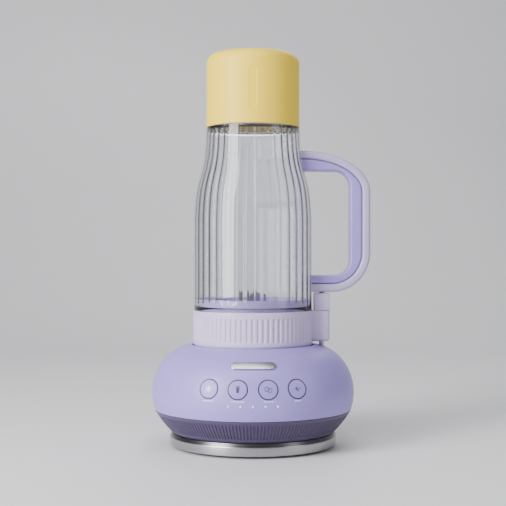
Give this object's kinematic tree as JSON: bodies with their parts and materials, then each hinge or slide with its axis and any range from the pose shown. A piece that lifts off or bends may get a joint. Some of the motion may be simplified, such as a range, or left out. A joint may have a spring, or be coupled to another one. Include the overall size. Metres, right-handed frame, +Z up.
{
  "type": "countertop blender",
  "caption": "Personal countertop blender: round motor base with push buttons, lift-off blade base, screw-on clear cup with side handle, and screw-on lid.",
  "frame": {"origin": "on the table, under the middle of the whole object's box; the turning axis is 6.25 mm towards -X of it", "axes": "+Z up; the buttons face -Y; the handle is at +X"},
  "size_m": [0.1734, 0.1609, 0.3115],
  "materials": {
    "lavender_plastic": "satin lavender",
    "skirt_plastic": "dark purple, fine ribs",
    "collar_plastic": "pale lavender grey",
    "handle_plastic": "lavender",
    "grip_plastic": "soft grey lavender",
    "platform_plastic": "glossy purple",
    "yellow_plastic": "matte pastel yellow",
    "clear_plastic": "clear copolyester",
    "white_plastic": "translucent white",
    "black_plastic": "black",
    "brushed_silver": "brushed",
    "steel": "satin steel",
    "copper": "enamelled copper and brass",
    "laminated_iron": "bare lamination grey",
    "board_green": "solder mask",
    "rubber": "matte rubber",
    "silicone": "soft silicone"
  },
  "bodies": {
    "base": {"base_shell": "lavender_plastic", "vent_skirt": "skirt_plastic", "cord_inlet": "black_plastic", "base_ring": "brushed_silver", "bottom_plate": "black_plastic", "foot_1": "rubber", "foot_2": "rubber", "foot_3": "rubber", "foot_4": "rubber", "base_screw_1": "steel", "base_screw_2": "steel", "base_screw_3": "steel", "base_screw_4": "steel", "badge": "brushed_silver", "control_board": "board_green", "light_pipe": "white_plastic", "power_board": "board_green", "lower_bracket": "laminated_iron", "upper_bracket": "laminated_iron", "lower_bearing": "steel", "upper_bearing": "steel", "stator": "laminated_iron", "field_coil_left": "copper", "field_coil_right": "copper", "brush_holder_left": "copper", "brush_holder_right": "copper", "shaft_drip_seal": "silicone"},
    "rotor": {"motor_shaft": "steel", "armature": "laminated_iron", "commutator": "copper", "cooling_fan": "black_plastic", "drive_coupler": "black_plastic"},
    "crush_button": {"crush_button": "lavender_plastic"},
    "smoothie_button": {"smoothie_button": "lavender_plastic"},
    "mix_button": {"mix_button": "lavender_plastic"},
    "pulse_button": {"pulse_button": "lavender_plastic"},
    "plunger": {"interlock_plunger": "white_plastic"},
    "blade_base": {"blade_collar": "collar_plastic", "tab_cover": "collar_plastic", "interlock_spring": "steel", "blade_platform": "platform_plastic", "lower_bush": "copper", "upper_bush": "copper", "shaft_seal": "silicone"},
    "tab_rod": {"interlock_rod": "white_plastic"},
    "blades": {"blade_shaft": "steel", "lower_blade": "steel", "upper_blade": "steel", "blade_nut": "steel", "driven_coupler": "black_plastic"},
    "cup_gasket": {"cup_seal": "silicone"},
    "cup": {"jar": "clear_plastic", "handle": "handle_plastic", "handle_grip": "grip_plastic"},
    "lid_gasket": {"lid_seal": "silicone"},
    "lid": {"lid_shell": "yellow_plastic", "lid_liner": "yellow_plastic"}
  },
  "joints": [
    {"name": "motor_spin", "type": "hinge", "parent": "base", "child": "rotor", "pos_m": [-0.00625, 0, 0.045], "axis": [0, 0, 1], "continuous": true},
    {"name": "crush_press", "type": "slide", "parent": "base", "child": "crush_button", "axis": [0.398, 0.8815, -0.2542], "range_m": [0, 0.001], "stiffness_N_per_m": 900},
    {"name": "smoothie_press", "type": "slide", "parent": "base", "child": "smoothie_button", "axis": [0.1363, 0.9575, -0.2542], "range_m": [0, 0.001], "stiffness_N_per_m": 900},
    {"name": "mix_press", "type": "slide", "parent": "base", "child": "mix_button", "axis": [-0.1363, 0.9575, -0.2542], "range_m": [0, 0.001], "stiffness_N_per_m": 900},
    {"name": "pulse_press", "type": "slide", "parent": "base", "child": "pulse_button", "axis": [-0.398, 0.8815, -0.2542], "range_m": [0, 0.001], "stiffness_N_per_m": 900},
    {"name": "plunger_press", "type": "slide", "parent": "base", "child": "plunger", "axis": [0, 0, -1], "range_m": [0, 0.001], "stiffness_N_per_m": 300},
    {"name": "cup_lift", "type": "slide", "parent": "base", "child": "blade_base", "axis": [0, 0, 1], "range_m": [0, 0.04]},
    {"name": "interlock_press", "type": "slide", "parent": "blade_base", "child": "tab_rod", "axis": [0, 0, -1], "range_m": [0, 0.001], "stiffness_N_per_m": 300},
    {"name": "blade_spin", "type": "hinge", "parent": "blade_base", "child": "blades", "pos_m": [-0.00625, 0, 0.105], "axis": [0, 0, 1], "continuous": true},
    {"name": "cup_rise", "type": "slide", "parent": "blade_base", "child": "cup_gasket", "axis": [0, 0, 1], "range_m": [0, 0.013]},
    {"name": "cup_turn", "type": "hinge", "parent": "cup_gasket", "child": "cup", "pos_m": [-0.00625, 0, 0.11], "axis": [0, 0, 1], "range_deg": [0, 720]},
    {"name": "lid_rise", "type": "slide", "parent": "cup", "child": "lid_gasket", "axis": [0, 0, 1], "range_m": [0, 0.016]},
    {"name": "lid_turn", "type": "hinge", "parent": "lid_gasket", "child": "lid", "pos_m": [-0.00625, 0, 0.26], "axis": [0, 0, 1], "range_deg": [0, 720]}
  ],
  "couplings": [
    {"joint": "blade_spin", "follows": "motor_spin", "ratio": 1},
    {"joint": "plunger_press", "follows": "interlock_press", "ratio": 1},
    {"joint": "cup_rise", "follows": "cup_turn", "m_per_rad": 0.0010345},
    {"joint": "lid_rise", "follows": "lid_turn", "m_per_rad": 0.0012732}
  ]
}
